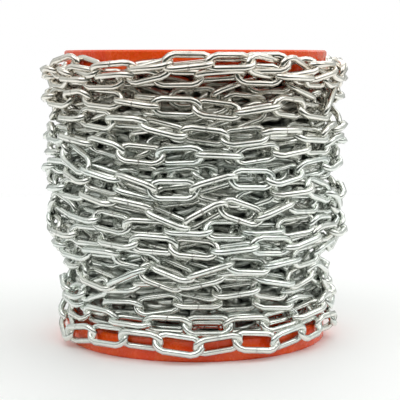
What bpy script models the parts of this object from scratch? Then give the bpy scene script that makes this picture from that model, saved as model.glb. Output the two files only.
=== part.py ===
"""A reel of zinc-plated long-link steel chain, wound full on a two-flange plastic reel.

The reel stands on its lower flange with its axis along +Z. The origin is on the floor, on that axis.
Every size is in metres, from the millimetre values below.
"""

import math

import bmesh
import bpy
from mathutils import Matrix, Vector

MM = 0.001
FIT_GAP = 0.3 * MM  # between faces that rest on each other

# Chain: long-link, welded, each link a round bar bent to a stadium
WIRE = 5.0 * MM
LINK_PITCH = 35.0 * MM
LINK_WIDTH = 20.0 * MM
LINK_LENGTH = LINK_PITCH + 2 * WIRE
WINDOW_WIDTH = LINK_WIDTH - 2 * WIRE
WINDOW_LENGTH = 31.0 * MM  # square-ended, so a little shorter than the real round-ended window

# Reel: two thick flanges with a rim and shallow ribs on the outside, on a core tube
FLANGE_RADIUS = 123.0 * MM
FLANGE_HEIGHT = 20.0 * MM
RIM_WALL = 4.0 * MM
RIM_CHAMFER = 1.5 * MM
WEB_RECESS = 3.5 * MM  # the web's outer face lies this far inside the rim's edge
HUB_RADIUS = 28.0 * MM
HUB_RECESS = 1.0 * MM  # the hub ends short of the rim, so that the reel stands on the rim
AXLE_RADIUS = 16.0 * MM
SPIGOT_HEIGHT = 3.5 * MM
SPIGOT_WALL = 4.0 * MM
RIB_COUNT = 8
RIB_WALL = 3.0 * MM
RIB_DROP = 1.5 * MM  # the ribs stop this far inside the rim's edge
CORE_RADIUS = 60.0 * MM
CORE_WALL = 3.0 * MM
WINDING_WIDTH = 230.0 * MM  # between the flanges
FLANGE_STEPS = 40
CORE_STEPS = 40  # of the sleeve of hidden turns, too

# Outer turns of the chain. The lowest are a layer short, so the pile is a barrel that narrows downwards
TURN_COUNT = 13
LOW_TURN_COUNT = 4
LOW_TURN_LINKS = 20
HIGH_TURN_LINKS = 24
LOW_TURN_RADIUS = 111.5 * MM
HIGH_TURN_RADIUS = 129.0 * MM
BOTTOM_WEB = FLANGE_HEIGHT
TOP_WEB = FLANGE_HEIGHT + WINDING_WIDTH
TOP_OF_REEL = TOP_WEB + FLANGE_HEIGHT
LOWEST_TURN = BOTTOM_WEB + LINK_WIDTH / 2 + FIT_GAP
TURN_RISE = (WINDING_WIDTH - LINK_WIDTH - 2 * FIT_GAP) / (TURN_COUNT - 1)

# Hidden turns: a ridge, one bar thick, under each outer turn, and a groove between two
RIDGE_FOOT = 12.0 * MM
GROOVE_DEPTH = 12.0 * MM

# Links that stand proud of the pile: turn and the angles, in degrees, where they stand
PROUD_REACH = 8.0 * MM
PROUD_LINKS = {7: (90, 180), 9: (0, 270), 11: (0, 180)}

ORANGE_PLASTIC = ("orange_plastic", (0.87, 0.13, 0.02, 1.0), 0.35, 0.0)
ZINC_STEEL = ("zinc_steel", (0.72, 0.73, 0.70, 1.0), 0.22, 1.0)


def clear_scene():
    """Empties the scene of the objects that Blender starts with."""
    for obj in list(bpy.data.objects):
        bpy.data.objects.remove(obj)


def new_collection(name):
    """A collection of that name, linked to the scene."""
    collection = bpy.data.collections.new(name)
    bpy.context.scene.collection.children.link(collection)
    return collection


def new_material(name, colour, roughness, metallic):
    """A Principled material of one colour."""
    material = bpy.data.materials.new(name)
    material.use_nodes = True
    shader = material.node_tree.nodes["Principled BSDF"]
    shader.inputs["Base Color"].default_value = colour
    shader.inputs["Roughness"].default_value = roughness
    shader.inputs["Metallic"].default_value = metallic
    return material


def place_mesh(name, mesh, collection, material):
    """One named object of that mesh, with its material, in the collection."""
    obj = bpy.data.objects.new(name, mesh)
    mesh.materials.clear()
    mesh.materials.append(material)
    collection.objects.link(obj)
    return obj


def baked_mesh(obj):
    """The mesh that an object's modifiers give."""
    graph = bpy.context.evaluated_depsgraph_get()
    return bpy.data.meshes.new_from_object(obj.evaluated_get(graph))


def turned_solid(name, profile, steps, collection, material):
    """A closed profile of (radius, height) points turned once about the Z axis."""
    mesh = bpy.data.meshes.new(name)
    outline = bmesh.new()
    corners = [outline.verts.new((radius, 0.0, height)) for radius, height in profile]
    for start, end in zip(corners, corners[1:] + corners[:1]):
        outline.edges.new((start, end))
    outline.to_mesh(mesh)
    outline.free()
    obj = place_mesh(name, mesh, collection, material)
    screw = obj.modifiers.new("turn", "SCREW")
    screw.steps = steps
    screw.render_steps = steps
    screw.use_merge_vertices = True
    screw.merge_threshold = 0.01 * MM
    return obj


def box_mesh(name, size, centre):
    """A box of that size about a centre, made from a cube."""
    shape = bmesh.new()
    bmesh.ops.create_cube(shape, size=1.0)
    bmesh.ops.scale(shape, vec=size, verts=shape.verts)
    bmesh.ops.translate(shape, vec=centre, verts=shape.verts)
    mesh = bpy.data.meshes.new(name)
    shape.to_mesh(mesh)
    shape.free()
    return mesh


def flange_profile():
    """The lower flange's half section: rim, web, hub, and the spigot that the core tube sits on."""
    rim_inside = FLANGE_RADIUS - RIM_WALL
    spigot_radius = CORE_RADIUS - CORE_WALL - FIT_GAP
    spigot_top = FLANGE_HEIGHT + SPIGOT_HEIGHT
    return [
        (AXLE_RADIUS, FLANGE_HEIGHT),
        (spigot_radius - SPIGOT_WALL, FLANGE_HEIGHT),
        (spigot_radius - SPIGOT_WALL, spigot_top),
        (spigot_radius, spigot_top),
        (spigot_radius, FLANGE_HEIGHT),
        (FLANGE_RADIUS - RIM_CHAMFER, FLANGE_HEIGHT),
        (FLANGE_RADIUS, FLANGE_HEIGHT - RIM_CHAMFER),
        (FLANGE_RADIUS, RIM_CHAMFER),
        (FLANGE_RADIUS - RIM_CHAMFER, 0.0),
        (rim_inside, 0.0),
        (rim_inside, WEB_RECESS),
        (HUB_RADIUS, WEB_RECESS),
        (HUB_RADIUS, HUB_RECESS),
        (AXLE_RADIUS, HUB_RECESS),
    ]


def make_flange(name, upside_down, collection, cutters, material):
    """One moulded flange. The upper one is the same moulding, turned over."""
    flange = turned_solid(name, flange_profile(), FLANGE_STEPS, collection, material)
    overlap = 1.0 * MM  # the ribs run this far into the hub, rim and web
    inner = HUB_RADIUS - overlap
    outer = FLANGE_RADIUS - RIM_WALL + overlap
    height = WEB_RECESS + overlap - RIB_DROP
    size = (outer - inner, RIB_WALL, height)
    centre = ((inner + outer) / 2, 0.0, RIB_DROP + height / 2)
    ribs = bmesh.new()
    for step in range(RIB_COUNT):
        rib = box_mesh("rib", size, centre)
        rib.transform(Matrix.Rotation(math.tau * (step + 0.5) / RIB_COUNT, 4, "Z"))
        ribs.from_mesh(rib)
        bpy.data.meshes.remove(rib)
    mesh = bpy.data.meshes.new(name + "_ribs")
    ribs.to_mesh(mesh)
    ribs.free()
    tool = place_mesh(name + "_ribs", mesh, cutters, material)
    tool.hide_render = True
    tool.display_type = "WIRE"
    join = flange.modifiers.new("join_ribs", "BOOLEAN")
    join.operation = "UNION"
    join.object = tool
    if upside_down:
        flange.rotation_euler = (math.pi, 0.0, 0.0)
        flange.location = (0.0, 0.0, TOP_OF_REEL)
        tool.rotation_euler = flange.rotation_euler
        tool.location = flange.location
    return flange


def link_plate(name, with_window):
    """A link as a six-cornered plate one bar thick, lying in the XY plane along X."""
    straight = LINK_LENGTH / 2 - LINK_WIDTH / 2
    outline = [
        (LINK_LENGTH / 2, 0.0),
        (straight, LINK_WIDTH / 2),
        (-straight, LINK_WIDTH / 2),
        (-LINK_LENGTH / 2, 0.0),
        (-straight, -LINK_WIDTH / 2),
        (straight, -LINK_WIDTH / 2),
    ]
    window = [(x * WINDOW_LENGTH / 2, y * WINDOW_WIDTH / 2) for x, y in ((1, 1), (-1, 1), (-1, -1), (1, -1))]
    curve = bpy.data.curves.new(name, "CURVE")
    curve.dimensions = "2D"
    curve.fill_mode = "BOTH"
    curve.extrude = WIRE / 2
    for corners in [outline, window] if with_window else [outline]:
        spline = curve.splines.new("POLY")
        spline.points.add(len(corners) - 1)
        for point, (x, y) in zip(spline.points, corners):
            point.co = (x, y, 0.0, 1.0)
        spline.use_cyclic_u = True
    obj = bpy.data.objects.new(name, curve)
    bpy.context.scene.collection.objects.link(obj)
    mesh = baked_mesh(obj)
    bpy.data.objects.remove(obj)
    welded = bmesh.new()
    welded.from_mesh(mesh)
    bmesh.ops.remove_doubles(welded, verts=welded.verts, dist=0.01 * MM)
    bmesh.ops.recalc_face_normals(welded, faces=welded.faces)
    welded.to_mesh(mesh)
    welded.free()
    return mesh


def link_frame(angle, radius, height, standing):
    """Places a link plate on the pile: along the turn, and either lying flat or standing on edge."""
    along = Vector((-math.sin(angle), math.cos(angle), 0.0))
    outwards = Vector((math.cos(angle), math.sin(angle), 0.0))
    upwards = Vector((0.0, 0.0, 1.0))
    across = outwards if standing else upwards
    normal = along.cross(across)
    turn = Matrix((along, across, normal)).transposed().to_4x4()
    return Matrix.Translation(outwards * radius + upwards * height) @ turn


def turn_radius(turn):
    """Radius of a turn's centre line."""
    return LOW_TURN_RADIUS if turn < LOW_TURN_COUNT else HIGH_TURN_RADIUS


def turn_height(turn):
    """Height of a turn's centre line."""
    return LOWEST_TURN + TURN_RISE * turn


def turn_links(name, plate, turn, standing, collection, material):
    """Every second link of a turn, as one object: those that lie flat, or those that stand on edge."""
    count = LOW_TURN_LINKS if turn < LOW_TURN_COUNT else HIGH_TURN_LINKS
    shape = bmesh.new()
    for link in range(count):
        # Neighbouring turns are staggered by one link, so that a flat link lies beside a standing one
        if ((link + turn) % 2 == 1) != standing:
            continue
        angle = math.tau * link / count
        reach = PROUD_REACH if standing and round(math.degrees(angle)) in PROUD_LINKS.get(turn, ()) else 0.0
        mesh = plate.copy()
        mesh.transform(link_frame(angle, turn_radius(turn) + reach, turn_height(turn), standing))
        shape.from_mesh(mesh)
        bpy.data.meshes.remove(mesh)
    mesh = bpy.data.meshes.new(name)
    shape.to_mesh(mesh)
    shape.free()
    return place_mesh(name, mesh, collection, material)


def make_turn(turn, flat_plate, edge_plate, collection, cutters, material):
    """One outer turn of the chain: flat and standing links by turns, joined where they hook together."""
    name = f"chain_turn_{turn + 1:02d}"
    lying = turn_links(name, flat_plate, turn, False, collection, material)
    standing = turn_links(name + "_standing", edge_plate, turn, True, cutters, material)
    standing.hide_render = True
    standing.display_type = "WIRE"
    hook = lying.modifiers.new("hook_links", "BOOLEAN")
    hook.operation = "UNION"
    hook.object = standing


def winding_profile():
    """Half section of the hidden turns: a sleeve with a ridge under each outer turn and grooves between."""
    inside = CORE_RADIUS + FIT_GAP
    bottom = BOTTOM_WEB + FIT_GAP
    top = TOP_WEB - FIT_GAP
    crests = [turn_radius(turn) - LINK_WIDTH / 2 - FIT_GAP for turn in range(TURN_COUNT)]
    profile = [(inside, top), (inside, bottom), (crests[0] - GROOVE_DEPTH, bottom)]
    for turn, crest in enumerate(crests):
        height = turn_height(turn)
        profile += [
            (crest - GROOVE_DEPTH, height - RIDGE_FOOT / 2),
            (crest, height - WIRE / 2),
            (crest, height + WIRE / 2),
            (crest - GROOVE_DEPTH, height + RIDGE_FOOT / 2),
        ]
    profile.append((crests[-1] - GROOVE_DEPTH, top))
    return profile[::-1]


def make_core_tube(collection, material):
    """The tube between the flanges, over both spigots."""
    inside = CORE_RADIUS - CORE_WALL
    bottom = BOTTOM_WEB + FIT_GAP
    top = TOP_WEB - FIT_GAP
    profile = [(CORE_RADIUS, top), (CORE_RADIUS, bottom), (inside, bottom), (inside, top)]
    return turned_solid("core_tube", profile, CORE_STEPS, collection, material)


def main():
    clear_scene()
    reel = new_collection("chain_reel")
    cutters = new_collection("joined_shapes")
    orange = new_material(*ORANGE_PLASTIC)
    zinc = new_material(*ZINC_STEEL)
    make_flange("bottom_flange", False, reel, cutters, orange)
    make_flange("top_flange", True, reel, cutters, orange)
    make_core_tube(reel, orange)
    turned_solid("inner_windings", winding_profile(), CORE_STEPS, reel, zinc)
    flat_plate = link_plate("lying_link", True)
    edge_plate = link_plate("standing_link", False)
    for turn in range(TURN_COUNT):
        make_turn(turn, flat_plate, edge_plate, reel, cutters, zinc)


main()
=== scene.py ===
"""The looks of a reel wound over-full with bright zinc-plated long-link chain.

The chain is wound here as a real one is: link after link is hooked into the last, led along a course of
turns, and drawn in towards the core until it touches what lies under it. The reel's flanges are moulded
orange plastic. All lengths are in metres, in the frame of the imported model.
"""

import logging
import math
from dataclasses import dataclass, field
from enum import Enum

import bpy
import numpy as np
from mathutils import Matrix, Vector


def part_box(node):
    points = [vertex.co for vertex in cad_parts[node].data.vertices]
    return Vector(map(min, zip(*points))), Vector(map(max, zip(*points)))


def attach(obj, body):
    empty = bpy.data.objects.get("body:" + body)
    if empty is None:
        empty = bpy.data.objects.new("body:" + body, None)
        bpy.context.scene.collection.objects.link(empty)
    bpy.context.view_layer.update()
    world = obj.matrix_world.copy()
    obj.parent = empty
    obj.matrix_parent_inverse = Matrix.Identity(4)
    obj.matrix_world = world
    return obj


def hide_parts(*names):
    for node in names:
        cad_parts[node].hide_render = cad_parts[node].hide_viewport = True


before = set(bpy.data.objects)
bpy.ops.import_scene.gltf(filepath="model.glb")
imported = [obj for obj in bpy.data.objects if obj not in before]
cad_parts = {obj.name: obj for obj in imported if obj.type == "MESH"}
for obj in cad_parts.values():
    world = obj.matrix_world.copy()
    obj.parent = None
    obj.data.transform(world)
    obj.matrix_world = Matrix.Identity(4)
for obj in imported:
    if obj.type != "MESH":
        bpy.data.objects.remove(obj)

LOG = logging.getLogger("chain_reel")
MM = 0.001
QUARTER = math.pi / 2
BODY = "root"
TURN_COUNT = 13
UV_NAME = "surface"
TONE_NAME = "tone"

# The four corners of a face on a grid of rings, as steps along the rings and round them
LENGTH_FIRST = ((0, 0), (1, 0), (1, 1), (0, 1))
ROUND_FIRST = ((0, 0), (0, 1), (1, 1), (1, 0))

# Round the back, the lies that may follow each lie. A letter that stands twice is drawn twice as often
FOLLOWERS = {"E": "UDUDe", "e": "DD", "U": "DEE", "D": "UEEe"}

Feed = float | tuple | bpy.types.NodeSocket


def eased(span: float, share: np.ndarray | float) -> np.ndarray | float:
    """Part of a span, eased at both ends: the span times 3 s squared minus 2 s cubed, for a share s."""
    return span * share * share * (3 - 2 * share)


def half_round(angle: np.ndarray) -> np.ndarray:
    """The same angles between minus and plus a quarter turn: a link turned half round looks the same."""
    return (angle + QUARTER) % math.pi - QUARTER


def ring_faces(rings: int, sides: int, corners: tuple) -> np.ndarray:
    """Joins rings of points to closed rows of faces, the last ring to the first.

    A point's number is its ring times the points in a ring, plus its place in the ring.

    Args:
        rings: The number of rings.
        sides: Points in each ring.
        corners: Each corner's steps along the rings and round them.

    Returns:
        Corner indices, four to a face.
    """
    i, j = np.meshgrid(np.arange(rings), np.arange(sides), indexing="ij")
    return np.stack([(i + a) % rings * sides + (j + b) % sides for a, b in corners], axis=-1).reshape(-1, 4)


@dataclass(frozen=True)
class LinkSkin:
    """One link's surface in its own axes: points, four-cornered faces, and a UV for each corner."""

    points: np.ndarray
    faces: np.ndarray
    uvs: np.ndarray


@dataclass(frozen=True)
class LinkForm:
    """A welded long link: a round bar bent to a long oval in its own plane.

    The bar's centre line is two straight runs joined by two half ellipses. The first axis runs along the
    link, the second across it.
    """

    wire: float = 5.0 * MM
    pitch: float = 35.0 * MM
    width: float = 20.0 * MM
    nose: float = 10.5 * MM

    @property
    def bend(self) -> float:
        """Half the width of the centre line."""
        return (self.width - self.wire) / 2

    @property
    def straight(self) -> float:
        """Half the length of each straight run."""
        return (self.pitch + self.wire) / 2 - self.nose

    def ends(self, angle: np.ndarray) -> np.ndarray:
        """Centre-line points round both ends: half ellipses of length nose and half width bend.

        Args:
            angle: Where the points are on each end, from minus to plus a quarter turn.

        Returns:
            Points, with the far end first.
        """
        point = np.column_stack([np.cos(angle) * self.nose, np.sin(angle) * self.bend])
        point[:, 0] += self.straight
        return np.concatenate([point, -point])

    def skin(self, knees: int, sides: int) -> LinkSkin:
        """The bar's surface: a ring of corners carried along the centre line.

        Each half ellipse becomes a few knees, whose chords touch the ellipse from outside, so the link keeps
        its length and width. A ring stands in the plane that halves its knee, and is stretched there by one
        over the cosine of half the turn. The faces round the bar touch the round bar from outside. The first
        UV runs along the bar, and is a half in the middle of one straight run, where the weld is.

        Args:
            knees: Rings of corners in each end.
            sides: Faces round the bar.

        Returns:
            One link's points, corner indices and corner UVs.
        """
        point = self.ends((np.arange(knees) - (knees - 1) / 2) * math.pi / knees)
        middle = np.sign(point) * [self.straight, 0.0]
        point = middle + (point - middle) / math.cos(math.pi / knees / 2)
        chord = np.roll(point, -1, axis=0) - point
        length = np.linalg.norm(chord, axis=1)
        ahead = chord / length[:, None]
        halfway = ahead + np.roll(ahead, 1, axis=0)
        halfway /= np.linalg.norm(halfway, axis=1, keepdims=True)
        outward = np.column_stack([halfway[:, 1], -halfway[:, 0]])
        mitre = 1 / (ahead * halfway).sum(axis=1)
        radius = self.wire / 2 / math.cos(math.pi / sides)
        turn = np.arange(sides) * math.tau / sides
        spread = radius * mitre[:, None] * np.cos(turn)
        rings = len(point)
        ring = np.empty((rings, sides, 3))
        ring[..., :2] = point[:, None] + outward[:, None] * spread[..., None]
        ring[..., 2] = radius * np.sin(turn)
        along = np.append(0.0, np.cumsum(length))
        weld = (along[knees - 1] + along[knees]) / 2
        closed = (along - weld) / along[-1] + 0.5
        i, j = np.meshgrid(np.arange(rings), np.arange(sides), indexing="ij")
        uv = np.stack([np.stack([closed[i + a], (j + b) / sides], axis=-1) for a, b in LENGTH_FIRST], axis=-2)
        return LinkSkin(ring.reshape(-1, 3), ring_faces(rings, sides, LENGTH_FIRST), uv.reshape(-1, 2))


class Lie(Enum):
    """How a link lies on the pile: a letter, and its roll in degrees from where its face looks outwards."""

    FLAT = ("F", 0.0)
    UPPER_OUT = ("U", 25.0)
    LOWER_OUT = ("D", -25.0)
    UPPER_STEEP = ("u", 52.0)
    LOWER_STEEP = ("d", -52.0)
    EDGE = ("E", 101.0)
    EDGE_UPPER = ("e", 64.0)
    EDGE_LOWER = ("n", 116.0)

    def __init__(self, letter: str, degrees: float) -> None:
        """Keeps the letter, and the roll in radians."""
        self.letter = letter
        self.roll = math.radians(degrees)

    @classmethod
    def of(cls, letter: str) -> "Lie":
        """The lie that a letter stands for."""
        return next(lie for lie in cls if lie.letter == letter)


@dataclass(frozen=True)
class Viewpoint:
    """Where the photographer stood, for the camera and for rows placed as the photograph shows them."""

    distance: float = 1.19
    eye_height: float = 0.263
    sight_drop: float = 6.46
    focal_pixels: float = 1255.0
    image_pixels: float = 400.0
    axis_pixel: float = 195.5

    @property
    def aside(self) -> float:
        """How far the camera stands to the right of the reel's axis."""
        return (self.image_pixels / 2 - self.axis_pixel) / self.focal_pixels * self.distance

    def meet(self, x: np.ndarray, y: np.ndarray, radius: float) -> tuple[np.ndarray, np.ndarray]:
        """Where the sight lines through some pixels meet an upright cylinder round the reel's axis.

        A sight line is the camera's place plus a multiple of its direction, and its level part is set to the
        cylinder's radius. A line that misses the cylinder is taken where it passes the axis.

        Args:
            x: Pixels from the left.
            y: Pixels from the top.
            radius: The cylinder's radius.

        Returns:
            Angles about the axis, from 0 to a whole turn, and heights.
        """
        drop = math.radians(self.sight_drop)
        across = (x - self.image_pixels / 2) / self.focal_pixels
        down = (y - self.image_pixels / 2) / self.focal_pixels
        ahead = math.cos(drop) - down * math.sin(drop)
        lower = -math.sin(drop) - down * math.cos(drop)
        square = across**2 + ahead**2
        middle = self.aside * across - self.distance * ahead
        rest = self.aside**2 + self.distance**2 - radius**2
        reach = (-middle - np.sqrt(np.maximum(middle**2 - square * rest, 0.0))) / square
        angle = np.arctan2(reach * ahead - self.distance, self.aside + reach * across)
        return angle % math.tau, self.eye_height + reach * lower


@dataclass(frozen=True)
class FrontRow:
    """One outer row of chain across the front, traced in the photograph's pixels.

    The path is a line of (x, y) pixels through the middle of the row. The hook is the x of a place near the
    middle where two links are hooked together. The letters say how each link lies, left and right of the
    hook. Where least is given, the row is kept at least so far from the axis, in front of a flange's rim.
    """

    path: tuple
    hook: float
    left: str
    right: str
    radius: float
    least: float = 0.0

    def trace(self, view: Viewpoint) -> tuple[np.ndarray, np.ndarray]:
        """The row's angles and heights on a cylinder of its own radius."""
        x, y = np.array(self.path, dtype=float).T
        return view.meet(x, y, self.radius)

    def hook_angle(self, view: Viewpoint) -> float:
        """The angle of the hook.

        Args:
            view: The photograph's viewpoint.

        Returns:
            The angle about the reel's axis.
        """
        x, y = np.array(self.path, dtype=float).T
        level = np.interp(self.hook, x, y)
        angle, _ = view.meet(np.array([self.hook]), np.array([level]), self.radius)
        return float(angle[0])


@dataclass(frozen=True)
class Course:
    """A hidden run of turns, laid on whatever is under it.

    The height goes from start to end in proportion to the angle wound, plus a slow wander.
    """

    name: str
    start: float
    end: float
    turns: float
    reach: float
    wander: float = 3.0 * MM


@dataclass(frozen=True)
class Play:
    """How far a link may stray from its aim: its roll in degrees, its height, and the most it may rise."""

    roll: float
    height: float
    steepest: float


@dataclass(frozen=True)
class Aim:
    """What the next link is led to: the next joint's height and reach, its own roll, and its play."""

    height: float
    roll: float
    play: Play
    reach: float
    pitch: float
    least: float = 0.0


@dataclass(frozen=True)
class Slack:
    """A place where a link stands off the pile: its joint can't come nearer to the axis than radius."""

    angle: float
    height: float
    radius: float
    spread: float = 9.0 * MM

    def holds(self, angle: np.ndarray, height: np.ndarray) -> np.ndarray:
        """The least radius for some joints: an oval patch, twice as wide as it is high, is held off.

        Args:
            angle: The joints' angles about the axis.
            height: The joints' heights.

        Returns:
            The least radius of each, or zero where there is no slack.
        """
        turned = (angle - math.radians(self.angle) + math.pi) % math.tau - math.pi
        off = np.hypot(turned * self.radius / (2 * self.spread), (height - self.height) / self.spread)
        return np.where(off < 1.0, self.radius, 0.0)


@dataclass(frozen=True)
class Barrel:
    """The deepest turns: a barrel that is slim at the foot and grows to its full radius above."""

    foot: float = 73.0 * MM
    body: float = 107.0 * MM
    grows_from: float = 48.0 * MM
    grows_over: float = 58.0 * MM

    def share(self, height: np.ndarray) -> np.ndarray:
        """How far the barrel has grown at some heights, from 0 to 1."""
        return np.clip((height - self.grows_from) / self.grows_over, 0.0, 1.0)

    def radius(self, height: np.ndarray) -> np.ndarray:
        """The barrel's radius at some heights."""
        return self.foot + eased(self.body - self.foot, self.share(height))


@dataclass
class LaidLinks:
    """The links wound so far: a frame for each (along, across, normal), a centre, and its bar's chords."""

    centres: list = field(default_factory=list)
    frames: list = field(default_factory=list)
    chords: list = field(default_factory=list)

    def near(self, centre: np.ndarray, reach: float, skip: int) -> np.ndarray:
        """The chords of links whose centres lie within reach, without the last few laid.

        Args:
            centre: Where the next link will be.
            reach: How far off a link's centre may be.
            skip: How many of the last links are left out.

        Returns:
            Chord ends, as an array of pairs of points.
        """
        count = len(self.centres) - skip
        if count <= 0:
            return np.empty((0, 2, 3))
        centres = np.array(self.centres[:count])
        close = np.flatnonzero(((centres - centre) ** 2).sum(axis=1) < reach**2)
        if len(close) == 0:
            return np.empty((0, 2, 3))
        return np.concatenate([self.chords[k] for k in close])


@dataclass(frozen=True)
class Trial:
    """The ways tried for one link: a roll and a height for each option, and the radii they share.

    The room has a row for each option and a column for each radius, from the outside in. The depth is the
    last column down to which an option has room, and is below zero where it has none.
    """

    rolls: np.ndarray
    heights: np.ndarray
    radii: np.ndarray
    chords: np.ndarray
    inside: bool
    room: np.ndarray
    depth: np.ndarray
    best: int

    @property
    def fits(self) -> bool:
        """Whether the best option has room."""
        return bool(self.depth[self.best] >= 0)


def least_gap(points: np.ndarray, chords: np.ndarray) -> np.ndarray:
    """Distance from each point to the nearest chord.

    The nearest place on a chord is its start plus a share of it: the point's offset times the chord, over
    the chord times itself, held between 0 and 1.

    Args:
        points: Points, in rows.
        chords: Pairs of chord ends.

    Returns:
        One distance for each point, large where there are no chords.
    """
    if len(chords) == 0:
        return np.full(len(points), 1.0)
    origin = points.mean(axis=0)
    p = (points - origin).astype(np.float32)
    a = (chords[:, 0] - origin).astype(np.float32)
    d = (chords[:, 1] - chords[:, 0]).astype(np.float32)
    dd = (d * d).sum(axis=1)
    pd = p @ d.T - (a * d).sum(axis=1)
    t = np.clip(pd / dd, 0.0, 1.0)
    square = (p * p).sum(axis=1)[:, None] + (a * a).sum(axis=1) - 2 * (p @ a.T)
    square += t * (t * dd - 2 * pd)
    return np.sqrt(np.maximum(square.min(axis=1), 0.0)).astype(float)


def link_frames(starts: np.ndarray, ends: np.ndarray, rolls: np.ndarray) -> tuple[np.ndarray, np.ndarray]:
    """Places links that run from one joint to the next.

    The normal is the outward direction turned about the link's length by its roll.

    Args:
        starts: Where the links start.
        ends: Where they end, in rows.
        rolls: The roll of each link about its own length. At zero it lies flat on the pile.

    Returns:
        Link centres, and frames with rows along, across and normal.
    """
    along = ends - starts
    along /= np.linalg.norm(along, axis=1, keepdims=True)
    centres = (starts + ends) / 2
    outward = centres * [1.0, 1.0, 0.0]
    outward -= (outward * along).sum(axis=1, keepdims=True) * along
    outward /= np.linalg.norm(outward, axis=1, keepdims=True)
    sideways = np.cross(along, outward)
    normal = np.cos(rolls)[:, None] * outward + np.sin(rolls)[:, None] * sideways
    across = np.cross(normal, along)
    return centres, np.stack([along, across, normal], axis=1)


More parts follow.
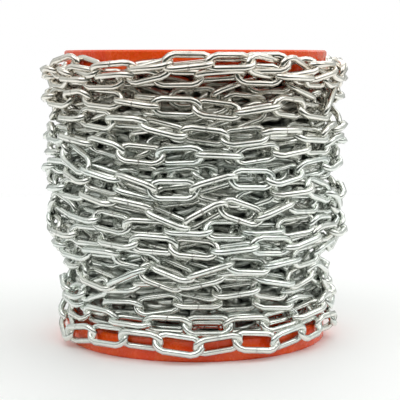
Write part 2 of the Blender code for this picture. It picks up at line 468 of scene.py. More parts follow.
@dataclass
class Winder:
    """Winds the chain on the reel, one link at a time.

    Each link starts at the last one's joint. Several ways to lay it are tried, each with its own roll
    about the chain's line and its own height. In each of them the next joint is lowered towards the axis
    until the link would touch one that is already there. The lowest joint with the least twist wins. Where
    no way has room, the tries stray further, and at last the one that cuts in least is taken.
    """

    form: LinkForm
    barrel: Barrel
    flange_radius: float
    web_low: float
    web_high: float
    slacks: tuple

    # The tries: how many, how far they stray in multiples of the play, and the least roll between two links
    seed: int = 5
    options: int = 14
    widths: tuple = (1.0, 2.0, 3.0)
    least_roll: float = 50.0
    step: float = 2.4 * MM
    fine_steps: int = 5
    twist_cost: float = 14.0 * MM
    stray_cost: float = 0.4
    no_room_cost: float = 1.0
    end_samples: int = 5
    run_samples: int = 7

    # Room: a link touches at a little less than a bar's thickness, and leaves some for the next one
    touch: float = 4.95 * MM
    next_give: float = 0.8 * MM
    neighbourhood: float = 66.0 * MM
    slack_cut: float = 1.0 * MM
    slack_slope: float = 10.0

    # Where joints may be: between the flanges, in front of a rim, and slimmer at the foot
    climb: float = 10.0 * MM
    lowest: float = 30.8 * MM
    highest: float = 250.0 * MM
    rim_lowest: float = 12.0 * MM
    rim_highest: float = 258.6 * MM
    rim_room: float = 4.0 * MM
    foot_reach: float = 121.0 * MM
    foot_top: float = 45.0 * MM
    foot_blend: float = 55.0 * MM
    first_stand: float = 2.0 * MM
    first_lift: float = 1.0 * MM

    # The hidden courses' slow waves in height and roll, as rates per radian of winding
    hidden_play: Play = Play(18.0, 3.4 * MM, 11.0 * MM)
    wave_rates: tuple = (0.83, 2.3, 4.1)
    wave_gain: float = 1.6
    roll_rates: tuple = (1.7, 5.3)
    roll_swings: tuple = (26.0, 14.0)

    # The outer rows: across the front, in front of a rim, and round the back with a little slack
    front_play: Play = Play(13.0, 2.2 * MM, 17.0 * MM)
    rim_play: Play = Play(9.0, 1.4 * MM, 17.0 * MM)
    back_play: Play = Play(9.0, 1.5 * MM, 10.0 * MM)
    back_rate: float = 3.1
    back_wave_mm: float = 4.5
    lead_in: float = 0.5
    arrived: float = 0.4
    spare: float = 0.1
    shortest_pitch: float = 32.0 * MM

    # What changes while it winds
    laid: LaidLinks = field(default_factory=LaidLinks, init=False)
    angle: float = field(default=0.0, init=False)
    roll: float = field(default=0.0, init=False)
    tight: int = field(default=0, init=False)

    def __post_init__(self) -> None:
        """Sets up the random numbers, the bar's sample points and the first joint."""
        self.random = np.random.default_rng(self.seed)
        self.chord_points = self.form.ends(np.linspace(-QUARTER, QUARTER, self.end_samples))
        run = np.linspace(self.form.straight, -self.form.straight, self.run_samples + 2)[1:-1]
        runs = [np.column_stack([run, np.full(len(run), side * self.form.bend)]) for side in (1, -1)]
        self.samples = np.concatenate([self.chord_points, *runs])
        radius = self.barrel.foot + self.form.width / 2 + self.first_stand
        self.joint = np.array([radius, 0.0, self.lowest + self.first_lift])

    def reach_at(self, height: float, reach: float, least: float) -> float:
        """The greatest joint radius at a height: the pile is slimmer at its foot.

        Args:
            height: The height.
            reach: The greatest radius above the foot.
            least: The least radius that the row is kept at.

        Returns:
            The greatest radius.
        """
        share = min(max((height - self.foot_top) / self.foot_blend, 0.0), 1.0)
        return max(self.foot_reach + eased(reach - self.foot_reach, share), least + self.rim_room)

    def joints_at(
        self, radii: np.ndarray, heights: np.ndarray, pitch: float
    ) -> tuple[np.ndarray, np.ndarray]:
        """The points one pitch on from the last joint, at given radii and heights.

        The level triangle of the axis, the last joint and the new one gives the angle between them.

        Args:
            radii: Distances from the reel's axis.
            heights: Heights above the floor.
            pitch: Distance between the joints.

        Returns:
            The points, and their angles about the axis.
        """
        last = math.hypot(self.joint[0], self.joint[1])
        rise = heights - self.joint[2]
        level = pitch**2 - rise**2
        cosine = (radii**2 + last**2 - level) / (2 * radii * last)
        turned = math.atan2(self.joint[1], self.joint[0]) + np.arccos(np.clip(cosine, -1.0, 1.0))
        return np.stack([radii * np.cos(turned), radii * np.sin(turned), heights], axis=1), turned

    def room_for(self, joints: np.ndarray, rolls: np.ndarray, chords: np.ndarray, inside: bool) -> np.ndarray:
        """The room of links that end at new joints, and of a crosswise next link that would follow level.

        Args:
            joints: Where the next joint could be.
            rolls: The roll of each link.
            chords: Chords of the links around.
            inside: Whether the chain runs between the flanges. Over a rim it lies flat, link after link, and
                no room is kept for a crosswise one.

        Returns:
            The least room at each joint.
        """
        own = self.clearance(*link_frames(self.joint, joints, rolls), chords)
        if not inside:
            return own
        half = np.arcsin(self.form.pitch / 2 / np.hypot(joints[:, 0], joints[:, 1]))
        turn, lean = np.cos(2 * half), np.sin(2 * half)
        x, y, z = joints.T
        follow = np.stack([x * turn - y * lean, x * lean + y * turn, z], axis=1)
        after = self.clearance(*link_frames(joints, follow, rolls + QUARTER), chords)
        return np.minimum(own, after + self.next_give)

    def clearance(self, centres: np.ndarray, frames: np.ndarray, chords: np.ndarray) -> np.ndarray:
        """How much room each placed link has beyond touching: below zero it cuts into something.

        Args:
            centres: Link centres.
            frames: Link frames.
            chords: Chords of the links around.

        Returns:
            The least room of each link.
        """
        points = centres[:, None] + np.einsum("ps,ksx->kpx", self.samples, frames[:, :2])
        flat = points.reshape(-1, 3)
        room = least_gap(flat, chords) - self.touch
        radius = np.hypot(flat[:, 0], flat[:, 1])
        half = self.form.wire / 2
        room = np.minimum(room, radius - half - self.barrel.radius(flat[:, 2]))
        over_web = np.minimum(flat[:, 2] - self.web_low, self.web_high - flat[:, 2]) - half
        past_rim = radius - self.flange_radius - half
        room = np.minimum(room, np.maximum(over_web, past_rim))
        return room.reshape(points.shape[:2]).min(axis=1)

    def lay_course(self, course: Course) -> int:
        """Winds one hidden course on top of what is there.

        The height wanders by the mean of a few sines of the angle wound. The roll swings by two more, and
        goes on by a quarter turn from link to link.

        Args:
            course: The course's heights, turns and reach.

        Returns:
            The number of links laid.
        """
        begun = self.angle
        phases = self.random.uniform(0, math.tau, len(self.wave_rates) + len(self.roll_rates))
        waving, rolling = np.split(phases, [len(self.wave_rates)])
        whole = course.turns * math.tau
        before = len(self.laid.centres)
        while self.angle - begun < whole:
            share = (self.angle - begun) / whole
            wave = sum(np.sin(self.angle * rate + phase) for rate, phase in zip(self.wave_rates, waving))
            wander = self.wave_gain * course.wander * (wave / len(self.wave_rates))
            height = course.start + (course.end - course.start) * share + wander
            swings = zip(self.roll_swings, self.roll_rates, rolling)
            drift = sum(swing * math.sin(self.angle * rate + phase) for swing, rate, phase in swings)
            roll = math.radians(drift) + len(self.laid.centres) % 2 * QUARTER
            self.lay_link(Aim(height, roll, self.hidden_play, course.reach, self.form.pitch))
        return len(self.laid.centres) - before

    def lay_row(self, row: FrontRow, view: Viewpoint, reach: float) -> int:
        """Winds one outer row: round the back to the left edge, then across the front along its trace.

        Args:
            row: The row.
            view: The photograph's viewpoint.
            reach: The greatest joint radius.

        Returns:
            The number of links laid.
        """
        angles, heights = row.trace(view)
        step = 2 * math.asin(self.form.pitch / 2 / row.radius)
        start = row.hook_angle(view) - len(row.left) * step
        start += math.ceil((self.angle + self.lead_in - start) / math.tau) * math.tau
        before = len(self.laid.centres)
        self.lead_to(start, float(np.interp(start % math.tau, angles, heights)), reach)
        play = self.rim_play if row.least else self.front_play
        for letter in row.left + row.right:
            height = float(np.interp((self.angle + step) % math.tau, angles, heights))
            self.lay_link(Aim(height, Lie.of(letter).roll, play, reach, self.form.pitch, row.least))
        return len(self.laid.centres) - before

    def lead_to(self, angle: float, height: float, reach: float) -> None:
        """Winds round the back, a little slack, so that a joint arrives at an angle and a height.

        The height is eased from the last joint's to the new one, plus a wave that fades out at both ends.
        The pitch is shortened so that a whole number of links covers the angle that is left.

        Args:
            angle: The total angle to arrive at.
            height: The height to arrive at.
            reach: The greatest joint radius.
        """
        begun, low = self.angle, float(self.joint[2])
        phase = self.random.uniform(0, math.tau)
        letter = Lie.EDGE.letter
        while True:
            left = angle - self.angle
            radius = math.hypot(self.joint[0], self.joint[1])
            taut = 2 * math.asin(self.form.pitch / 2 / radius)
            if left < self.arrived * taut:
                return
            links = max(1, math.ceil(left / taut - self.spare))
            pitch = 2 * radius * math.sin(left / links / 2)
            pitch = float(np.clip(pitch, self.shortest_pitch, self.form.pitch))
            share = np.clip((self.angle + taut - begun) / (angle - begun), 0.0, 1.0)
            share = eased(1.0, share)
            swing = math.sin(share * math.pi) * math.sin(self.angle * self.back_rate + phase)
            letter = self.random.choice(list(FOLLOWERS[letter]))
            target = low + (height - low) * share + swing * self.back_wave_mm * MM
            self.lay_link(Aim(target, Lie.of(letter).roll, self.back_play, reach, pitch))

    def try_ways(self, aim: Aim, width: float) -> Trial:
        """Tries several ways to lay the next link, each at every radius from the outside in.

        The first try has the aim's own roll and height, and the others stray from them at random. The rolls
        are held near a quarter turn from the last link's, because two hooked links can't lie in one plane.

        Args:
            aim: What the link is led to.
            width: How far the tries stray, in multiples of the aim's play.

        Returns:
            The tries, with their room and the best of them.
        """
        stray = np.append(0.0, self.random.normal(0, width * math.radians(aim.play.roll), self.options - 1))
        most = QUARTER - math.radians(self.least_roll)
        crosswise = self.roll + QUARTER
        rolls = crosswise + np.clip(half_round(aim.roll + stray - crosswise), -most, most)
        stray = np.append(0.0, self.random.normal(0, width * aim.play.height, self.options - 1))
        heights = aim.height + stray
        heights = self.joint[2] + np.clip(heights - self.joint[2], -aim.play.steepest, aim.play.steepest)
        last = math.hypot(self.joint[0], self.joint[1])
        inside = aim.least < self.flange_radius or last + self.climb < aim.least
        low, high = (self.lowest, self.highest) if inside else (self.rim_lowest, self.rim_highest)
        heights = np.clip(heights, low, high)
        outermost = min(self.reach_at(aim.height, aim.reach, aim.least), last + self.climb)
        innermost = min(max(self.barrel.foot, last - self.climb), outermost - self.step)
        radii = np.arange(outermost, innermost, -self.step)
        option, level = np.meshgrid(np.arange(self.options), np.arange(len(radii)), indexing="ij")
        radius = radii[level.ravel()]
        joints, turned = self.joints_at(radius, heights[option.ravel()], aim.pitch)
        chords = self.laid.near(joints.mean(axis=0), self.neighbourhood, skip=1)
        room = self.room_for(joints, rolls[option.ravel()], chords, inside)
        held = np.full(len(room), aim.least)
        for slack in self.slacks:
            held = np.maximum(held, slack.holds(turned, joints[:, 2]))
        short = held - self.step - radius
        room = np.where(short > 0, np.minimum(room, -self.slack_cut) - self.slack_slope * short, room)
        room = room.reshape(option.shape)
        depth = np.logical_and.accumulate(room > 0, axis=1).sum(axis=1) - 1
        twist = half_round(rolls - aim.roll)
        cost = radii[np.maximum(depth, 0)] + self.twist_cost * twist**2
        cost = cost + self.stray_cost * np.abs(heights - aim.height)
        cost = np.where(depth < 0, cost + self.no_room_cost, cost)
        return Trial(rolls, heights, radii, chords, inside, room, depth, int(np.argmin(cost)))

    def settle(self, trial: Trial, pitch: float) -> tuple[int, float]:
        """Chooses one of the tries, and lowers it in finer steps while it has room.

        Args:
            trial: The ways tried.
            pitch: Distance between the joints.

        Returns:
            The option's number, and the next joint's radius.
        """
        if not trial.fits:
            self.tight += 1
            option, level = np.unravel_index(np.argmax(trial.room), trial.room.shape)
            return int(option), float(trial.radii[level])
        best = trial.best
        fine = trial.radii[trial.depth[best]] - np.linspace(0.0, self.step, self.fine_steps + 1)[:-1]
        joints, _ = self.joints_at(fine, np.full(len(fine), trial.heights[best]), pitch)
        room = self.room_for(joints, np.full(len(fine), trial.rolls[best]), trial.chords, trial.inside)
        fits = np.logical_and.accumulate(room > 0)
        return best, float(fine[max(int(fits.sum()) - 1, 0)])

    def lay_link(self, aim: Aim) -> None:
        """Lays the next link, and goes on to its far joint.

        Args:
            aim: What it is led to.
        """
        for width in self.widths:
            trial = self.try_ways(aim, width)
            if trial.fits:
                break
        option, radius = self.settle(trial, aim.pitch)
        one = slice(option, option + 1)
        joints, turned = self.joints_at(np.array([radius]), trial.heights[one], aim.pitch)
        centres, frames = link_frames(self.joint, joints, trial.rolls[one])
        self.keep_link(centres[0], frames[0])
        before = math.atan2(self.joint[1], self.joint[0])
        self.angle += (turned[0] - before) % math.tau
        self.roll = trial.rolls[option]
        self.joint = joints[0]

    def keep_link(self, centre: np.ndarray, axes: np.ndarray) -> None:
        """Keeps a link where it was laid.

        Args:
            centre: The link's centre.
            axes: The link's frame.
        """
        points = centre + self.chord_points @ axes[:2]
        self.laid.centres.append(centre)
        self.laid.frames.append(axes)
        self.laid.chords.append(np.stack([points, np.roll(points, -1, axis=0)], axis=1))


def mesh_piece(
    name: str, points: np.ndarray, faces: np.ndarray, uvs: np.ndarray | None = None
) -> bpy.types.Object:
    """Makes a smooth-shaded object at the origin from whole arrays.

    Args:
        name: The piece's name.
        points: Points, in rows.
        faces: Corner indices, four to a face.
        uvs: A UV for each corner, if the finish follows the surface.

    Returns:
        The object, linked to the scene.
    """
    mesh = bpy.data.meshes.new(name)
    mesh.from_pydata(points, [], faces)
    if uvs is not None:
        layer = mesh.uv_layers.new(name=UV_NAME)
        layer.uv.foreach_set("vector", np.ascontiguousarray(uvs, dtype=np.float32).ravel())
    mesh.shade_smooth()
    mesh.update()
    piece = bpy.data.objects.new(name, mesh)
    bpy.context.scene.collection.objects.link(piece)
    return piece


class Nodes:
    """Short ways to add and join the nodes of one tree."""

    def __init__(self, tree: bpy.types.NodeTree) -> None:
        """Takes the tree that the nodes go into."""
        self.tree = tree

    def add(self, kind: str, settings: dict | None = None, **inputs: Feed) -> bpy.types.Node:
        """Adds a node.

        Args:
            kind: The node's type name without its ShaderNode start.
            settings: Properties to set on it.
            **inputs: Values or sockets for its inputs, by name with _ for a space, or by index as i0.

        Returns:
            The node.
        """
        node = self.tree.nodes.new("ShaderNode" + kind)
        for key, value in (settings or {}).items():
            setattr(node, key, value)
        for key, value in inputs.items():
            by_index = key[0] == "i" and key[1:].isdigit()
            self.feed(node.inputs[int(key[1:]) if by_index else key.replace("_", " ")], value)
        return node

    def feed(self, socket: bpy.types.NodeSocket, value: Feed) -> None:
        """Links a socket to another one, or sets its value.

        Args:
            socket: The socket to feed.
            value: Another socket, or a value.
        """
        if isinstance(value, bpy.types.NodeSocket):
            self.tree.links.new(value, socket)
        else:
            socket.default_value = value

    def math(self, operation: str, *values: Feed) -> bpy.types.NodeSocket:
        """The result of one Math node.

        Args:
            operation: The node's operation.
            *values: Its inputs, in order.

        Returns:
            The result's socket.
        """
        node = self.add("Math", {"operation": operation})
        for socket, value in zip(node.inputs, values):
            self.feed(socket, value)
        return node.outputs[0]

    def ramp(
        self, value: Feed, low: float, high: float, out_low: float = 0.0, out_high: float = 1.0
    ) -> bpy.types.NodeSocket:
        """Maps a value smoothly from one range to another.

        Args:
            value: The value.
            low: Where its range starts.
            high: Where its range ends.
            out_low: The result at the start.
            out_high: The result at the end.

        Returns:
            The result's socket.
        """
        node = self.add("MapRange", {"interpolation_type": "SMOOTHSTEP"})
        names = ("Value", "From Min", "From Max", "To Min", "To Max")
        for name, entry in zip(names, (value, low, high, out_low, out_high)):
            self.feed(node.inputs[name], entry)
        return node.outputs["Result"]

    def mix(self, share: Feed, first: Feed, second: Feed) -> bpy.types.NodeSocket:
        """A blend of two colours.

        Args:
            share: The second colour's share.
            first: The first colour.
            second: The second colour.

        Returns:
            The blend's socket.
        """
        node = self.add("Mix", {"data_type": "RGBA"})
        self.feed(node.inputs["Factor"], share)
        self.feed(node.inputs["A"], first)
        self.feed(node.inputs["B"], second)
        return next(s for s in node.outputs if s.type == "RGBA")


class FinishNodes(Nodes):
    """The nodes of one new material, round its Principled shader."""

    def __init__(self, name: str) -> None:
        """Starts the material."""
        self.material = bpy.data.materials.new(name)
        self.material.use_nodes = True
        super().__init__(self.material.node_tree)
        self.shader = self.tree.nodes["Principled BSDF"]

    def set(self, name: str, value: Feed) -> None:
        """Links or sets one of the shader's own sockets."""
        self.feed(self.shader.inputs[name], value)


@dataclass(frozen=True)
class BrightZinc:
    """Bright zinc plate on drawn wire: cool silver, with weld scale, fine draw lines and rub marks.

    Each pair is a range of a pattern's value, of the distance from the weld, or of heights. Towards the top
    of the pile the zinc gets a painted warm reflection of the orange top flange.
    """

    name: str = "bright_zinc"
    clean: tuple = (0.90, 0.93, 0.885, 1.0)
    shaded: tuple = (0.75, 0.81, 0.775, 1.0)
    warm: tuple = (0.86, 0.83, 0.76, 1.0)
    # Painted reflection: the warm tint that stands in for the orange top flange mirrored in the upper turns
    painted_top_reflection: tuple = (0.86, 0.77, 0.68, 1.0)
    scale: tuple = (0.20, 0.18, 0.16, 1.0)
    least_roughness: float = 0.10
    draw_roughness: float = 0.16
    weld_roughness: float = 0.22
    cloud_size: float = 140.0
    cloud_range: tuple = (0.35, 0.7)
    draw_size: tuple = (14.0, 60.0, 1.0)
    speck_size: float = 700.0
    speck_range: tuple = (0.42, 0.62)
    weld_range: tuple = (0.004, 0.02)
    weld_tones: tuple = (0.2, 0.7)
    ragged: float = 0.02
    warm_share: float = 0.5
    # The heights over which the painted top reflection fades in, and its greatest share
    top_reflection_heights: tuple = (0.17, 0.26)
    top_reflection_share: float = 0.6
    scale_share: float = 0.8
    relief: float = 0.0006
    relief_strength: float = 0.05
    draw_relief: float = 0.4

    def make(self) -> bpy.types.Material:
        """Builds the material.

        Returns:
            The material.
        """
        n = FinishNodes(self.name)
        place = n.add("TexCoord").outputs["Object"]
        uv = n.add("UVMap", {"uv_map": UV_NAME}).outputs["UV"]
        tone = n.add("Attribute", {"attribute_name": TONE_NAME}).outputs["Fac"]
        along = n.add("SeparateXYZ", i0=uv).outputs["X"]
        cloud = n.add("TexNoise", Vector=place, Scale=self.cloud_size, Detail=3.0).outputs["Fac"]
        lines = n.add("Mapping", Vector=uv, Scale=self.draw_size).outputs["Vector"]
        draw = n.add("TexNoise", Vector=lines, Scale=1.0, Detail=4.0, Roughness=0.7).outputs["Fac"]
        off = n.math("ABSOLUTE", n.math("SUBTRACT", along, 0.5))
        uneven = n.math("MULTIPLY", n.math("SUBTRACT", draw, 0.5), self.ragged)
        edge = n.math("ADD", off, uneven)
        specks = n.add("TexNoise", Vector=place, Scale=self.speck_size, Detail=2.0).outputs["Fac"]
        weld = n.math("MULTIPLY", n.ramp(edge, *self.weld_range, 1.0, 0.0), n.ramp(specks, *self.speck_range))
        weld = n.math("MULTIPLY", weld, n.ramp(tone, *self.weld_tones))
        colour = n.mix(n.ramp(cloud, *self.cloud_range), self.clean, self.shaded)
        colour = n.mix(n.math("MULTIPLY", tone, self.warm_share), colour, self.warm)
        # Painted reflection: towards the top the zinc is tinted warm, for the orange top flange mirrored in
        # it
        height = n.add("SeparateXYZ", i0=place).outputs["Z"]
        top_reflection = n.ramp(height, *self.top_reflection_heights, 0.0, self.top_reflection_share)
        colour = n.mix(top_reflection, colour, self.painted_top_reflection)
        colour = n.mix(n.math("MULTIPLY", weld, self.scale_share), colour, self.scale)
        n.set("Base Color", colour)
        n.set("Metallic", 1.0)
        rough = n.math("ADD", self.least_roughness, n.math("MULTIPLY", draw, self.draw_roughness))
        rough = n.math("ADD", rough, n.math("MULTIPLY", weld, self.weld_roughness))
        n.set("Roughness", rough)
        relief = n.math("ADD", n.math("MULTIPLY", draw, self.draw_relief), cloud)
        bump = n.add("Bump", Height=relief, Strength=self.relief_strength, Distance=self.relief)
        n.set("Normal", bump.outputs["Normal"])
        return n.material


@dataclass(frozen=True)
class MouldedOrange:
    """Glossy moulded plastic with slow flow marks and fine surface grain."""

    name: str = "moulded_orange"
    bright: tuple = (0.97, 0.115, 0.008, 1.0)
    deep: tuple = (0.90, 0.07, 0.005, 1.0)
    least_roughness: float = 0.22
    scuff_roughness: float = 0.25
    flow_size: float = 22.0
    flow_range: tuple = (0.35, 0.7)
    scuff_size: float = 160.0
    scuff_range: tuple = (0.45, 0.75)
    grain_size: float = 900.0
    grain: float = 0.0003
    grain_strength: float = 0.12
    glow_share: float = 0.35
    glow_colour: tuple = (1.0, 0.12, 0.04)
    glow_depth: float = 0.012

    def make(self) -> bpy.types.Material:
        """Builds the material.

        Returns:
            The material.
        """
        n = FinishNodes(self.name)
        place = n.add("TexCoord").outputs["Object"]
        flow = n.add("TexNoise", Vector=place, Scale=self.flow_size, Detail=2.0, Distortion=1.2)
        grain = n.add("TexNoise", Vector=place, Scale=self.grain_size, Detail=2.0)
        scuff = n.add("TexNoise", Vector=place, Scale=self.scuff_size, Detail=5.0, Roughness=0.75)
        flow_share = n.ramp(flow.outputs["Fac"], *self.flow_range)
        n.set("Base Color", n.mix(flow_share, self.bright, self.deep))
        worn = n.math("MULTIPLY", n.ramp(scuff.outputs["Fac"], *self.scuff_range), self.scuff_roughness)
        n.set("Roughness", n.math("ADD", self.least_roughness, worn))
        fine = grain.outputs["Fac"]
        bump = n.add("Bump", Height=fine, Strength=self.grain_strength, Distance=self.grain)
        n.set("Normal", bump.outputs["Normal"])
        n.set("Specular IOR Level", 0.5)
        n.set("Subsurface Weight", self.glow_share)
        n.set("Subsurface Radius", self.glow_colour)
        n.set("Subsurface Scale", self.glow_depth)
        return n.material


@dataclass(frozen=True)
class PaintedShadeSteel:
    """The deepest turns, in painted shade: their zinc is coloured almost black where it shows through the
    gaps, broken by painted glints.
    """

    name: str = "deep_steel_painted_shade"
    # Painted shade: a near-black colour for the shade deep in the pile, with a lighter painted glint
    painted_shade: tuple = (0.05, 0.055, 0.052, 1.0)
    glint: tuple = (0.38, 0.41, 0.39, 1.0)
    cell_size: float = 95.0
    glint_range: tuple = (0.25, 0.5)
    rough_range: tuple = (0.2, 0.6)
    roughness: tuple = (0.35, 0.6)
    relief: float = 0.002
    relief_strength: float = 0.6

    def make(self) -> bpy.types.Material:
        """Builds the material.

        Returns:
            The material.
        """
        n = FinishNodes(self.name)
        place = n.add("TexCoord").outputs["Object"]
        cells = n.add("TexVoronoi", Vector=place, Scale=self.cell_size).outputs["Distance"]
        # Painted shade, broken cell by cell by painted glints
        n.set("Base Color", n.mix(n.ramp(cells, *self.glint_range), self.painted_shade, self.glint))
        n.set("Metallic", 1.0)
        n.set("Roughness", n.ramp(cells, *self.rough_range, *self.roughness))
        bump = n.add("Bump", Height=cells, Strength=self.relief_strength, Distance=self.relief)
        n.set("Normal", bump.outputs["Normal"])
        return n.material


def dress(piece: bpy.types.Object, material: bpy.types.Material, node: str) -> None:
    """Gives a piece of chain its finish and its body, and hides the CAD node that it stands for.

    Args:
        piece: The piece.
        material: Its finish.
        node: The CAD node.
    """
    piece.data.materials.append(material)
    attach(piece, BODY)
    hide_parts(node)
    LOG.info("%s: %d faces", piece.name, len(piece.data.polygons))


@dataclass(frozen=True)
class DeepRings:
    """The links of the deep turns: level rings of joints, each a little off in radius and height.

    Two rings' links alternate, so that one lies flat where the next one's stands on edge.
    """

    barrel: Barrel
    lowest: float = 31.0 * MM
    highest: float = 243.0 * MM
    rise: float = 8.0 * MM
    links: int = 20
    stand: float = 3.0 * MM
    height_error: float = 3.4 * MM
    radius_error: float = 2.0 * MM
    roll: float = 0.4
    roll_error: float = 0.45
    foot_fill: float = 26.0 * MM
    fill_top: float = 78.0 * MM
    fill_blend: float = 25.0 * MM

    def place(self, random: np.random.Generator) -> tuple[np.ndarray, np.ndarray]:
        """Places the links.

        A ring's radius is the barrel's plus a filling that fades out above the foot, plus an error.

        Args:
            random: Where the small errors come from.

        Returns:
            Link centres and frames.
        """
        heights = np.arange(self.lowest, self.highest, self.rise)
        shape = (len(heights), self.links)
        angle = (np.arange(self.links) + random.random((len(heights), 1))) * math.tau / self.links
        height = heights[:, None] + random.normal(0, self.height_error, shape)
        fill = self.foot_fill * np.clip((self.fill_top - height) / self.fill_blend, 0.0, 1.0)
        radius = self.barrel.foot + (self.barrel.body - self.barrel.foot) * self.barrel.share(height) + fill
        radius += self.stand + random.normal(0, self.radius_error, shape)
        joints = np.stack([radius * np.cos(angle), radius * np.sin(angle), height], axis=-1)
        ends = np.roll(joints, -1, axis=1).reshape(-1, 3)
        parity = (np.arange(len(heights))[:, None] + np.arange(self.links)) % 2 * QUARTER
        rolls = (parity + random.normal(self.roll, self.roll_error, shape)).ravel()
        return link_frames(joints.reshape(-1, 3), ends, rolls)


@dataclass(frozen=True)
class DeepSleeve:
    """The deepest turns, as a ribbed sleeve in painted shade that shows only through the gaps."""

    node: str = "inner_windings"
    steps: int = 120
    rows: int = 96
    turn_height: float = 15.3 * MM
    radius: float = 102.0 * MM
    inner_radius: float = 61.0 * MM
    rib: float = 1.8 * MM
    ribs_round: int = 9
    rib_shift: float = 1.3
    foot_cut: float = 13.0 * MM
    foot_top: float = 100.0 * MM
    foot_blend: float = 50.0 * MM

    def build(self) -> None:
        """Builds the sleeve.

        The outer radius is a cosine of the height, climbing one turn a round, times a cosine of the angle
        that shifts from turn to turn, less a cut that grows towards the foot. Two rings close the inside.
        """
        low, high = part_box(self.node)
        height = np.linspace(low[2], high[2], self.rows)
        angle = np.arange(self.steps) * math.tau / self.steps
        z, t = np.meshgrid(height, angle, indexing="ij")
        climbing = np.cos((z / self.turn_height + t / math.tau) * math.tau)
        wave = climbing * np.cos(t * self.ribs_round + np.floor(z / self.turn_height) * self.rib_shift)
        cut = self.foot_cut * np.clip((self.foot_top - z) / self.foot_blend, 0.0, 1.0)
        outer = self.radius + self.rib * wave - cut
        inner = np.full((2, self.steps), self.inner_radius)
        r = np.concatenate([outer, inner])
        z = np.concatenate([z, np.array([[high[2]], [low[2]]]) + np.zeros((2, self.steps))])
        t = np.concatenate([t, t[:2]])
        points = np.stack([r * np.cos(t), r * np.sin(t), z], axis=-1)
        faces = ring_faces(self.rows + 2, self.steps, ROUND_FIRST)
        # The sleeve is coloured in painted shade
        dress(mesh_piece("deepest_turns", points.reshape(-1, 3), faces), PaintedShadeSteel().make(), self.node)


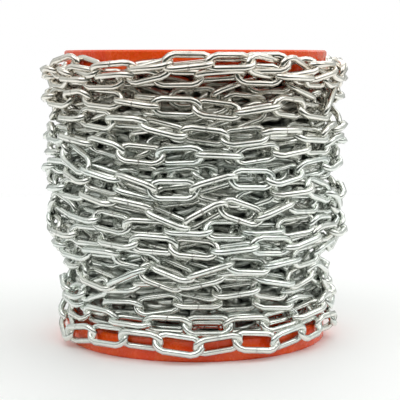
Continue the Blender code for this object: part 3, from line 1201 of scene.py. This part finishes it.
@dataclass
class ChainPile:
    """The wound chain: every link that can be seen, in one piece for each height of turns."""

    view: Viewpoint
    form: LinkForm = LinkForm()
    barrel: Barrel = Barrel()
    reach: float = 136.4 * MM
    seed: int = 11
    outer_knees: int = 7
    deep_knees: int = 5
    sides: int = 5
    deep_node: str = "inner_windings"
    turn_nodes: tuple = tuple(f"chain_turn_{k:02d}" for k in range(1, TURN_COUNT + 1))
    courses: tuple = (
        Course("brim", start=243 * MM, end=243 * MM, turns=1.0, reach=121 * MM, wander=0.5 * MM),
        Course("full", start=240 * MM, end=31 * MM, turns=13.5, reach=122 * MM, wander=3.2 * MM),
    )
    rows: tuple = (
        FrontRow(
            path=((66, 304), (80, 312), (98, 317), (125, 322), (158, 325), (195, 327), (240, 326),
                  (280, 320), (305, 314), (322, 304)),
            hook=185, left="UDUEU", right="DEUDUD", radius=0.1265, least=0.125,
        ),
        FrontRow(
            path=((70, 296), (110, 308), (150, 309), (195, 313), (240, 315), (280, 309), (320, 300)),
            hook=176, left="UDEDU", right="EFEUDE", radius=0.121, least=0.118,
        ),
        FrontRow(
            path=((60, 325), (66, 328), (80, 331), (98, 334), (125, 338), (158, 341), (195, 342),
                  (240, 341), (275, 337), (300, 332), (318, 326), (326, 320)),
            hook=203, left="UDUDUD", right="UDUDU", radius=0.129, least=0.1275,
        ),
        FrontRow(
            path=((70, 283), (110, 292), (150, 297), (195, 294), (240, 299), (280, 296), (320, 288)),
            hook=186, left="UDede", right="FEDUEF", radius=0.120,
        ),
        FrontRow(
            path=((70, 262), (110, 279), (150, 283), (195, 282), (240, 279), (280, 284), (320, 277)),
            hook=153, left="EFeD", right="UEDUDE", radius=0.122,
        ),
        FrontRow(
            path=((70, 208), (110, 218), (150, 228), (195, 234), (240, 231), (280, 229), (320, 222)),
            hook=224, left="FEDUE", right="FEDUEF", radius=0.125,
        ),
        FrontRow(
            path=((62, 236), (98, 248), (123, 268), (163, 270), (203, 271), (243, 268), (277, 262),
                  (312, 254), (335, 245)),
            hook=203, left="FEDUEF", right="EFEDUE", radius=0.127,
        ),
        FrontRow(
            path=((70, 218), (97, 231), (127, 256), (172, 250), (212, 248), (252, 244), (290, 237),
                  (330, 222)),
            hook=212, left="FEFEUD", right="EFEUDE", radius=0.128,
        ),
        FrontRow(
            path=((70, 190), (101, 198), (131, 213), (168, 222), (208, 220), (248, 219), (287, 216),
                  (320, 210)),
            hook=208, left="FEFEUD", right="EFEDUE", radius=0.132,
        ),
        FrontRow(
            path=((70, 178), (110, 190), (150, 196), (195, 205), (240, 206), (280, 203), (320, 203)),
            hook=210, left="FEDUEF", right="EFEDUE", radius=0.130,
        ),
        FrontRow(
            path=((70, 163), (95, 176), (123, 183), (163, 183), (204, 187), (246, 185), (280, 177),
                  (309, 168), (335, 160)),
            hook=204, left="EDuDEU", right="DeDUEF", radius=0.133,
        ),
        FrontRow(
            path=((77, 143), (112, 151), (146, 155), (189, 160), (230, 162), (270, 158), (303, 148),
                  (330, 150)),
            hook=189, left="FEDUDU", right="EFEDUE", radius=0.133,
        ),
        FrontRow(
            path=((70, 116), (106, 120), (142, 131), (186, 136), (226, 138), (266, 137), (297, 135),
                  (342, 134)),
            hook=226, left="FEFenU", right="deDUEF", radius=0.133,
        ),
        FrontRow(
            path=((70, 100), (101, 103), (138, 106), (176, 107), (221, 108), (263, 105), (298, 106),
                  (327, 100), (345, 94)),
            hook=221, left="EFEUD", right="EUDUEF", radius=0.133,
        ),
        FrontRow(
            path=((70, 79), (110, 80), (149, 76), (192, 77), (234, 75), (272, 75), (306, 77), (340, 76)),
            hook=192, left="FEDUD", right="EFEUDE", radius=0.133,
        ),
        FrontRow(
            path=((48, 76), (70, 76), (110, 72), (150, 70), (195, 68), (240, 68), (280, 70), (310, 73),
                  (340, 76)),
            hook=184, left="FEUDEUDU", right="DUEUDEF", radius=0.131, least=0.129,
        ),
        FrontRow(
            path=((50, 66), (80, 66), (110, 62), (150, 59), (195, 58), (240, 57), (280, 60), (310, 63),
                  (335, 66)),
            hook=215, left="EFEUDU", right="EUDEFE", radius=0.133, least=0.131,
        ),
    )
    slacks: tuple = (
        Slack(angle=180.0, height=112 * MM, radius=136.2 * MM),
        Slack(angle=180.0, height=54 * MM, radius=123 * MM),
        Slack(angle=0.0, height=231 * MM, radius=136.2 * MM),
        Slack(angle=0.0, height=190 * MM, radius=136.2 * MM),
        Slack(angle=0.0, height=108 * MM, radius=136 * MM),
    )

    def wind(self) -> LaidLinks:
        """Winds the hidden courses, then the outer rows.

        Returns:
            Every link of the wound chain.
        """
        low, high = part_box(self.deep_node)
        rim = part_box("bottom_flange")[1][0]
        winder = Winder(self.form, self.barrel, rim, low[2], high[2], self.slacks)
        for course in self.courses:
            count = winder.lay_course(course)
            LOG.info("course %s: %d links, %d laid tight so far", course.name, count, winder.tight)
        for number, row in enumerate(self.rows, 1):
            count = winder.lay_row(row, self.view, self.reach)
            LOG.info("row %d: %d links, %d laid tight so far", number, count, winder.tight)
        LOG.info("%d links in all", len(winder.laid.centres))
        return winder.laid

    def build(self) -> None:
        """Builds the links' meshes and dresses them.

        Each wound link goes into the piece of the CAD turn whose middle is nearest in height. A link may be
        turned over, so that its weld is on either side.
        """
        laid = self.wind()
        centres, frames = np.array(laid.centres), np.array(laid.frames)
        radius = np.hypot(centres[:, 0], centres[:, 1])
        LOG.info("link centres reach %.1f mm", radius.max() / MM)
        random = np.random.default_rng(self.seed)
        flip = random.integers(0, 2, len(centres)) * 2 - 1
        frames[:, 1:] *= flip[:, None, None]
        tones = random.random(len(centres))
        zinc = BrightZinc().make()
        dull = BrightZinc("deep_zinc", least_roughness=0.21).make()
        deep_centres, deep_frames = DeepRings(self.barrel).place(random)
        deep_tones = random.random(len(deep_centres))
        skin = self.form.skin(self.deep_knees, self.sides)
        piece = self.link_piece("under_turn_links", skin, deep_centres, deep_frames, deep_tones)
        dress(piece, dull, self.deep_node)
        heights = np.array([sum(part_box(node)[k][2] for k in (0, 1)) / 2 for node in self.turn_nodes])
        nearest = np.abs(centres[:, 2:] - heights).argmin(axis=1)
        skin = self.form.skin(self.outer_knees, self.sides)
        for k, node in enumerate(self.turn_nodes):
            mine = nearest == k
            piece = self.link_piece(f"turn_links_{k + 1:02d}", skin, centres[mine], frames[mine], tones[mine])
            dress(piece, zinc, node)
        DeepSleeve(self.deep_node).build()

    def link_piece(
        self, name: str, skin: LinkSkin, centres: np.ndarray, frames: np.ndarray, tones: np.ndarray
    ) -> bpy.types.Object:
        """Copies one link's surface to every place in a group.

        Args:
            name: The piece's name.
            skin: One link's surface.
            centres: Link centres.
            frames: Link frames.
            tones: A number for each link, which varies its colour.

        Returns:
            The object.
        """
        count = len(centres)
        points = centres[:, None] + np.einsum("vs,ksx->kvx", skin.points, frames)
        faces = skin.faces + (np.arange(count) * len(skin.points))[:, None, None]
        piece = mesh_piece(name, points.reshape(-1, 3), faces.reshape(-1, 4), np.tile(skin.uvs, (count, 1)))
        tone = piece.data.attributes.new(TONE_NAME, "FLOAT", "POINT")
        tone.data.foreach_set("value", np.repeat(tones, len(skin.points)).astype(np.float32))
        return piece


@dataclass
class Reel:
    """The moulded reel: two flanges and the core tube."""

    nodes: tuple = ("bottom_flange", "top_flange", "core_tube")

    def build(self) -> None:
        """Dresses the reel's own solids."""
        orange = MouldedOrange().make()
        for name in self.nodes:
            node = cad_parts[name]
            node.data.materials.clear()
            node.data.materials.append(orange)
            LOG.info("%s dressed", name)


@dataclass(frozen=True)
class SoftBox:
    """One square soft light: where it hangs, its side and its power in watts."""

    name: str
    place: tuple
    side: float
    power: float


@dataclass
class Studio:
    """A white floor, soft light from all round, and the camera where the photographer stood.

    The tent's shades are grey levels by the height that a direction looks to, from straight down at 0 to
    straight up at 1. Towards the far side, behind the reel, they fade into one even, paler tone.
    """

    view: Viewpoint
    floor_side: float = 1.2
    floor_front: float = 0.42
    floor_colour: tuple = (0.98, 0.98, 0.98, 1.0)
    floor_roughness: float = 0.7
    aim_height: float = 0.14
    sensor: float = 36.0
    backdrop: tuple = (1.0, 1.0, 1.0, 1.0)
    rear_colour: tuple = (0.72, 0.75, 0.73, 1.0)
    rear_range: tuple = (-0.7, 0.3)
    rear_share: float = 0.75
    tent_shades: tuple = (
        (0.0, (0.8, 0.8, 0.8)),
        (0.10, (0.5, 0.5, 0.5)),
        (0.20, (0.045, 0.06, 0.05)),
        (0.61, (0.06, 0.065, 0.055)),
        (0.72, (0.77, 0.77, 0.76)),
        (0.88, (0.84, 0.84, 0.83)),
        (1.0, (0.84, 0.84, 0.83)),
    )
    soft_boxes: tuple = (
        SoftBox("key_softbox", (-0.9, -1.3, 1.9), 2.3, 13.0),
        SoftBox("fill_softbox", (1.5, -0.6, 1.6), 2.0, 10.0),
        SoftBox("back_softbox", (0.3, 1.6, 1.8), 2.2, 13.0),
    )

    def build(self) -> None:
        """Sets up floor, light and camera."""
        self.floor()
        self.tent()
        for box in self.soft_boxes:
            self.hang(box)
        self.camera()
        bpy.context.scene.view_settings.view_transform = "Standard"

    def floor(self) -> None:
        """A wide pale floor."""
        side, front = self.floor_side, self.floor_front
        points = np.array([[-side, -front, 0.0], [side, -front, 0.0], [side, side, 0.0], [-side, side, 0.0]])
        floor = mesh_piece("studio_floor", points, np.array([[0, 1, 2, 3]]))
        n = FinishNodes("studio_white")
        n.set("Base Color", self.floor_colour)
        n.set("Roughness", self.floor_roughness)
        floor.data.materials.append(n.material)

    def tent(self) -> None:
        """A soft tent: white above and below, with a darker band at eye height that only metal mirrors."""
        world = bpy.data.worlds.new("studio_tent")
        bpy.context.scene.world = world
        world.use_nodes = True
        n = Nodes(world.node_tree)
        parts = n.add("SeparateXYZ", i0=n.add("TexCoord").outputs["Generated"])
        lift = n.add("MapRange", Value=parts.outputs["Z"], From_Min=-1.0, From_Max=1.0)
        shades = n.add("ValToRGB", Fac=lift.outputs["Result"])
        stops = shades.color_ramp.elements
        while len(stops) < len(self.tent_shades):
            stops.new(0.5)
        for stop, (place, colour) in zip(stops, self.tent_shades):
            stop.position = place
            stop.color = (*colour, 1.0)
        rear = n.ramp(parts.outputs["Y"], *self.rear_range, 0.0, self.rear_share)
        tent = n.mix(rear, shades.outputs["Color"], self.rear_colour)
        seen = n.add("LightPath").outputs["Is Camera Ray"]
        background = world.node_tree.nodes["Background"]
        n.feed(background.inputs["Color"], n.mix(seen, tent, self.backdrop))

    def hang(self, box: SoftBox) -> None:
        """Adds one soft light, aimed at the reel.

        Args:
            box: The light.
        """
        data = bpy.data.lights.new(box.name, "AREA")
        data.size = box.side
        data.energy = box.power
        lamp = bpy.data.objects.new(box.name, data)
        lamp.location = box.place
        aim = Vector((0.0, 0.0, self.aim_height)) - Vector(box.place)
        lamp.rotation_euler = aim.to_track_quat("-Z", "Y").to_euler()
        bpy.context.scene.collection.objects.link(lamp)

    def camera(self) -> None:
        """Puts the camera in front, level with the top flange, looking slightly down."""
        data = bpy.data.cameras.new("photo_camera")
        data.sensor_width = self.sensor
        data.lens = self.view.focal_pixels / self.view.image_pixels * data.sensor_width
        camera = bpy.data.objects.new("photo_camera", data)
        camera.location = (self.view.aside, -self.view.distance, self.view.eye_height)
        camera.rotation_euler = (math.radians(90 - self.view.sight_drop), 0.0, 0.0)
        bpy.context.scene.collection.objects.link(camera)
        bpy.context.scene.camera = camera


def main() -> None:
    """Builds the chain, the reel and the studio."""
    logging.basicConfig(level=logging.INFO, format="%(message)s")
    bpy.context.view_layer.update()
    view = Viewpoint()
    ChainPile(view).build()
    Reel().build()
    Studio(view).build()


if __name__ == "__main__":
    main()
